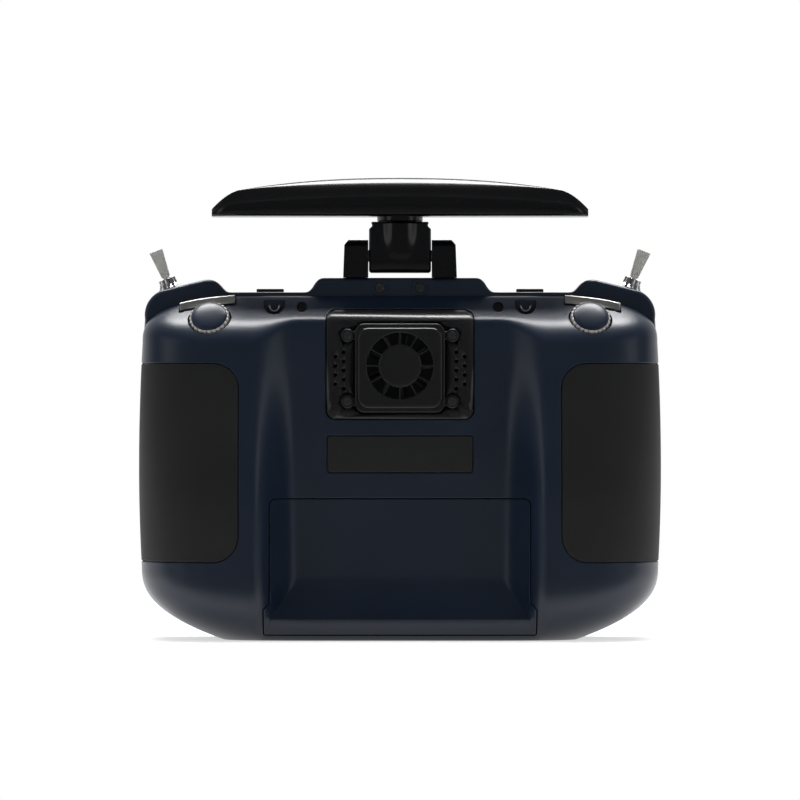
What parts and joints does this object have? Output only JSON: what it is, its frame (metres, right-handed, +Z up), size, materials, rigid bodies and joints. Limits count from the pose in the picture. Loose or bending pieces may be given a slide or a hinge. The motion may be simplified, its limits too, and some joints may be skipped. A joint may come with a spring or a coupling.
{
  "type": "radio transmitter controller",
  "caption": "Handheld two-stick radio transmitter seen with its rear grips, battery door, fan-cooled module, toggles, thumbwheels and folding bar antenna.",
  "frame": {"origin": "centre of the flat base that the transmitter stands on", "axes": "+Z up, -Y the rear with the battery door, +Y the pilot's face with the sticks, +X to the right when seen from the rear"},
  "size_m": [0.2184, 0.0924, 0.1932],
  "materials": {
    "navy": "satin painted plastic",
    "rubber": "matt soft-touch rubber",
    "black_gloss": "gloss moulded plastic",
    "black_satin": "satin moulded plastic",
    "silver": "machined, satin",
    "chrome": "bright plated",
    "black_steel": "blackened steel",
    "board": "solder-masked board",
    "glass": "clear cover glass",
    "screen": "unlit screen",
    "cell": "shrink-wrapped steel can"
  },
  "bodies": {
    "housing": {"rear_shell": "navy", "front_shell": "navy", "front_fascia": "black_gloss", "grip_pad_left": "rubber", "grip_pad_right": "rubber", "battery_tray": "black_satin", "battery_cells": "cell", "blank_nameplate": "black_satin", "module_cover": "black_gloss", "fan_frame": "black_gloss", "module_screws": "black_steel", "module_board": "board", "antenna_bracket": "black_satin", "bracket_screws": "black_steel", "hinge_pin": "silver", "case_screws": "black_steel", "rear_toggle_switches": "chrome", "front_toggle_switches": "chrome", "wheel_pots": "black_satin", "strap_eyes": "chrome", "gimbal_housing_left": "black_satin", "gimbal_housing_right": "black_satin", "screen_glass": "glass", "screen_panel": "screen", "main_board": "board", "speaker": "black_satin"},
    "battery_door": {"battery_door": "navy"},
    "fan": {"fan_impeller": "black_satin"},
    "antenna_hinge": {"hinge_block": "black_satin"},
    "antenna": {"antenna_bar": "black_gloss", "antenna_element": "board"},
    "rear_lever_left": {"rear_lever_left": "silver"},
    "front_lever_left": {"front_lever_left": "silver"},
    "thumbwheel_left": {"thumbwheel_left": "silver", "wheel_cap_left": "navy"},
    "bumper_left": {"bumper_left": "silver"},
    "top_key_left": {"top_key_left": "black_satin"},
    "yoke_left": {"gimbal_yoke_left": "black_satin"},
    "stick_left": {"stick_left": "silver", "stick_tip_left": "silver"},
    "trim_level_left": {"trim_left_level": "black_satin"},
    "trim_upright_left": {"trim_left_upright": "black_satin"},
    "rear_lever_right": {"rear_lever_right": "silver"},
    "front_lever_right": {"front_lever_right": "silver"},
    "thumbwheel_right": {"thumbwheel_right": "silver", "wheel_cap_right": "navy"},
    "bumper_right": {"bumper_right": "silver"},
    "top_key_right": {"top_key_right": "black_satin"},
    "yoke_right": {"gimbal_yoke_right": "black_satin"},
    "stick_right": {"stick_right": "silver", "stick_tip_right": "silver"},
    "trim_level_right": {"trim_right_level": "black_satin"},
    "trim_upright_right": {"trim_right_upright": "black_satin"},
    "key_1": {"key_1": "black_satin"},
    "key_2": {"key_2": "black_satin"},
    "key_3": {"key_3": "black_satin"},
    "key_4": {"key_4": "black_satin"},
    "power_button": {"power_button": "black_satin"},
    "roller": {"scroll_roller": "silver"}
  },
  "joints": [
    {"name": "battery_door_off", "type": "slide", "parent": "housing", "child": "battery_door", "axis": [0, -1, 0], "range_m": [0, 0.04]},
    {"name": "fan_spin", "type": "hinge", "parent": "housing", "child": "fan", "pos_m": [0, -0.024, 0.1142], "axis": [0, -1, 0], "continuous": true},
    {"name": "antenna_fold", "type": "hinge", "parent": "housing", "child": "antenna_hinge", "pos_m": [0, -0.002, 0.1605], "axis": [-1, 0, 0], "range_deg": [-90, 30]},
    {"name": "antenna_swivel", "type": "hinge", "parent": "antenna_hinge", "child": "antenna", "pos_m": [0, -0.002, 0.1745], "axis": [0, 0, 1], "range_deg": [0, 90]},
    {"name": "rear_toggle_left", "type": "hinge", "parent": "housing", "child": "rear_lever_left", "pos_m": [-0.09751, 0.006, 0.14923], "axis": [0.9311, 0, 0.3649], "range_deg": [-14, 14]},
    {"name": "front_toggle_left", "type": "hinge", "parent": "housing", "child": "front_lever_left", "pos_m": [-0.0842, 0.0235, 0.132], "axis": [1, 0, 0], "range_deg": [-14, 14]},
    {"name": "thumbwheel_turn_left", "type": "hinge", "parent": "housing", "child": "thumbwheel_left", "pos_m": [-0.0795, -0.02227, 0.1348], "axis": [-0.1116, -0.766, 0.633], "range_deg": [-135, 135]},
    {"name": "bumper_press_left", "type": "slide", "parent": "housing", "child": "bumper_left", "axis": [0, 1, 0], "range_m": [0, 0.0012], "stiffness_N_per_m": 600},
    {"name": "top_key_press_left", "type": "slide", "parent": "housing", "child": "top_key_left", "axis": [0, 0, -1], "range_m": [0, 0.0008], "stiffness_N_per_m": 600},
    {"name": "stick_up_down_left", "type": "hinge", "parent": "housing", "child": "yoke_left", "pos_m": [-0.066, 0.007, 0.092], "axis": [1, 0, 0], "range_deg": [-24, 24]},
    {"name": "stick_side_to_side_left", "type": "hinge", "parent": "yoke_left", "child": "stick_left", "pos_m": [-0.066, 0.007, 0.092], "axis": [0, 0, 1], "range_deg": [-24, 24], "stiffness_Nm_per_rad": 0.05},
    {"name": "trim_level_rock_left", "type": "hinge", "parent": "housing", "child": "trim_level_left", "pos_m": [-0.066, 0.021, 0.058], "axis": [0, 0, 1], "range_deg": [-4, 4], "stiffness_Nm_per_rad": 0.05},
    {"name": "trim_upright_rock_left", "type": "hinge", "parent": "housing", "child": "trim_upright_left", "pos_m": [-0.0333, 0.021, 0.092], "axis": [1, 0, 0], "range_deg": [-4, 4], "stiffness_Nm_per_rad": 0.05},
    {"name": "rear_toggle_right", "type": "hinge", "parent": "housing", "child": "rear_lever_right", "pos_m": [0.09751, 0.006, 0.14923], "axis": [0.9311, 0, -0.3649], "range_deg": [-14, 14]},
    {"name": "front_toggle_right", "type": "hinge", "parent": "housing", "child": "front_lever_right", "pos_m": [0.0842, 0.0235, 0.132], "axis": [1, 0, 0], "range_deg": [-14, 14]},
    {"name": "thumbwheel_turn_right", "type": "hinge", "parent": "housing", "child": "thumbwheel_right", "pos_m": [0.0795, -0.02227, 0.1348], "axis": [0.1116, -0.766, 0.633], "range_deg": [-135, 135]},
    {"name": "bumper_press_right", "type": "slide", "parent": "housing", "child": "bumper_right", "axis": [0, 1, 0], "range_m": [0, 0.0012], "stiffness_N_per_m": 600},
    {"name": "top_key_press_right", "type": "slide", "parent": "housing", "child": "top_key_right", "axis": [0, 0, -1], "range_m": [0, 0.0008], "stiffness_N_per_m": 600},
    {"name": "stick_up_down_right", "type": "hinge", "parent": "housing", "child": "yoke_right", "pos_m": [0.066, 0.007, 0.092], "axis": [1, 0, 0], "range_deg": [-24, 24], "stiffness_Nm_per_rad": 0.05},
    {"name": "stick_side_to_side_right", "type": "hinge", "parent": "yoke_right", "child": "stick_right", "pos_m": [0.066, 0.007, 0.092], "axis": [0, 0, 1], "range_deg": [-24, 24], "stiffness_Nm_per_rad": 0.05},
    {"name": "trim_level_rock_right", "type": "hinge", "parent": "housing", "child": "trim_level_right", "pos_m": [0.066, 0.021, 0.058], "axis": [0, 0, 1], "range_deg": [-4, 4], "stiffness_Nm_per_rad": 0.05},
    {"name": "trim_upright_rock_right", "type": "hinge", "parent": "housing", "child": "trim_upright_right", "pos_m": [0.0333, 0.021, 0.092], "axis": [1, 0, 0], "range_deg": [-4, 4], "stiffness_Nm_per_rad": 0.05},
    {"name": "key_press_1", "type": "slide", "parent": "housing", "child": "key_1", "axis": [0, -1, 0], "range_m": [0, 0.0008], "stiffness_N_per_m": 600},
    {"name": "key_press_2", "type": "slide", "parent": "housing", "child": "key_2", "axis": [0, -1, 0], "range_m": [0, 0.0008], "stiffness_N_per_m": 600},
    {"name": "key_press_3", "type": "slide", "parent": "housing", "child": "key_3", "axis": [0, -1, 0], "range_m": [0, 0.0008], "stiffness_N_per_m": 600},
    {"name": "key_press_4", "type": "slide", "parent": "housing", "child": "key_4", "axis": [0, -1, 0], "range_m": [0, 0.0008], "stiffness_N_per_m": 600},
    {"name": "power_press", "type": "slide", "parent": "housing", "child": "power_button", "axis": [0, -1, 0], "range_m": [0, 0.0008], "stiffness_N_per_m": 600},
    {"name": "roller_turn", "type": "hinge", "parent": "housing", "child": "roller", "pos_m": [0.0752, 0.0172, 0.038], "axis": [1, 0, 0], "continuous": true}
  ]
}
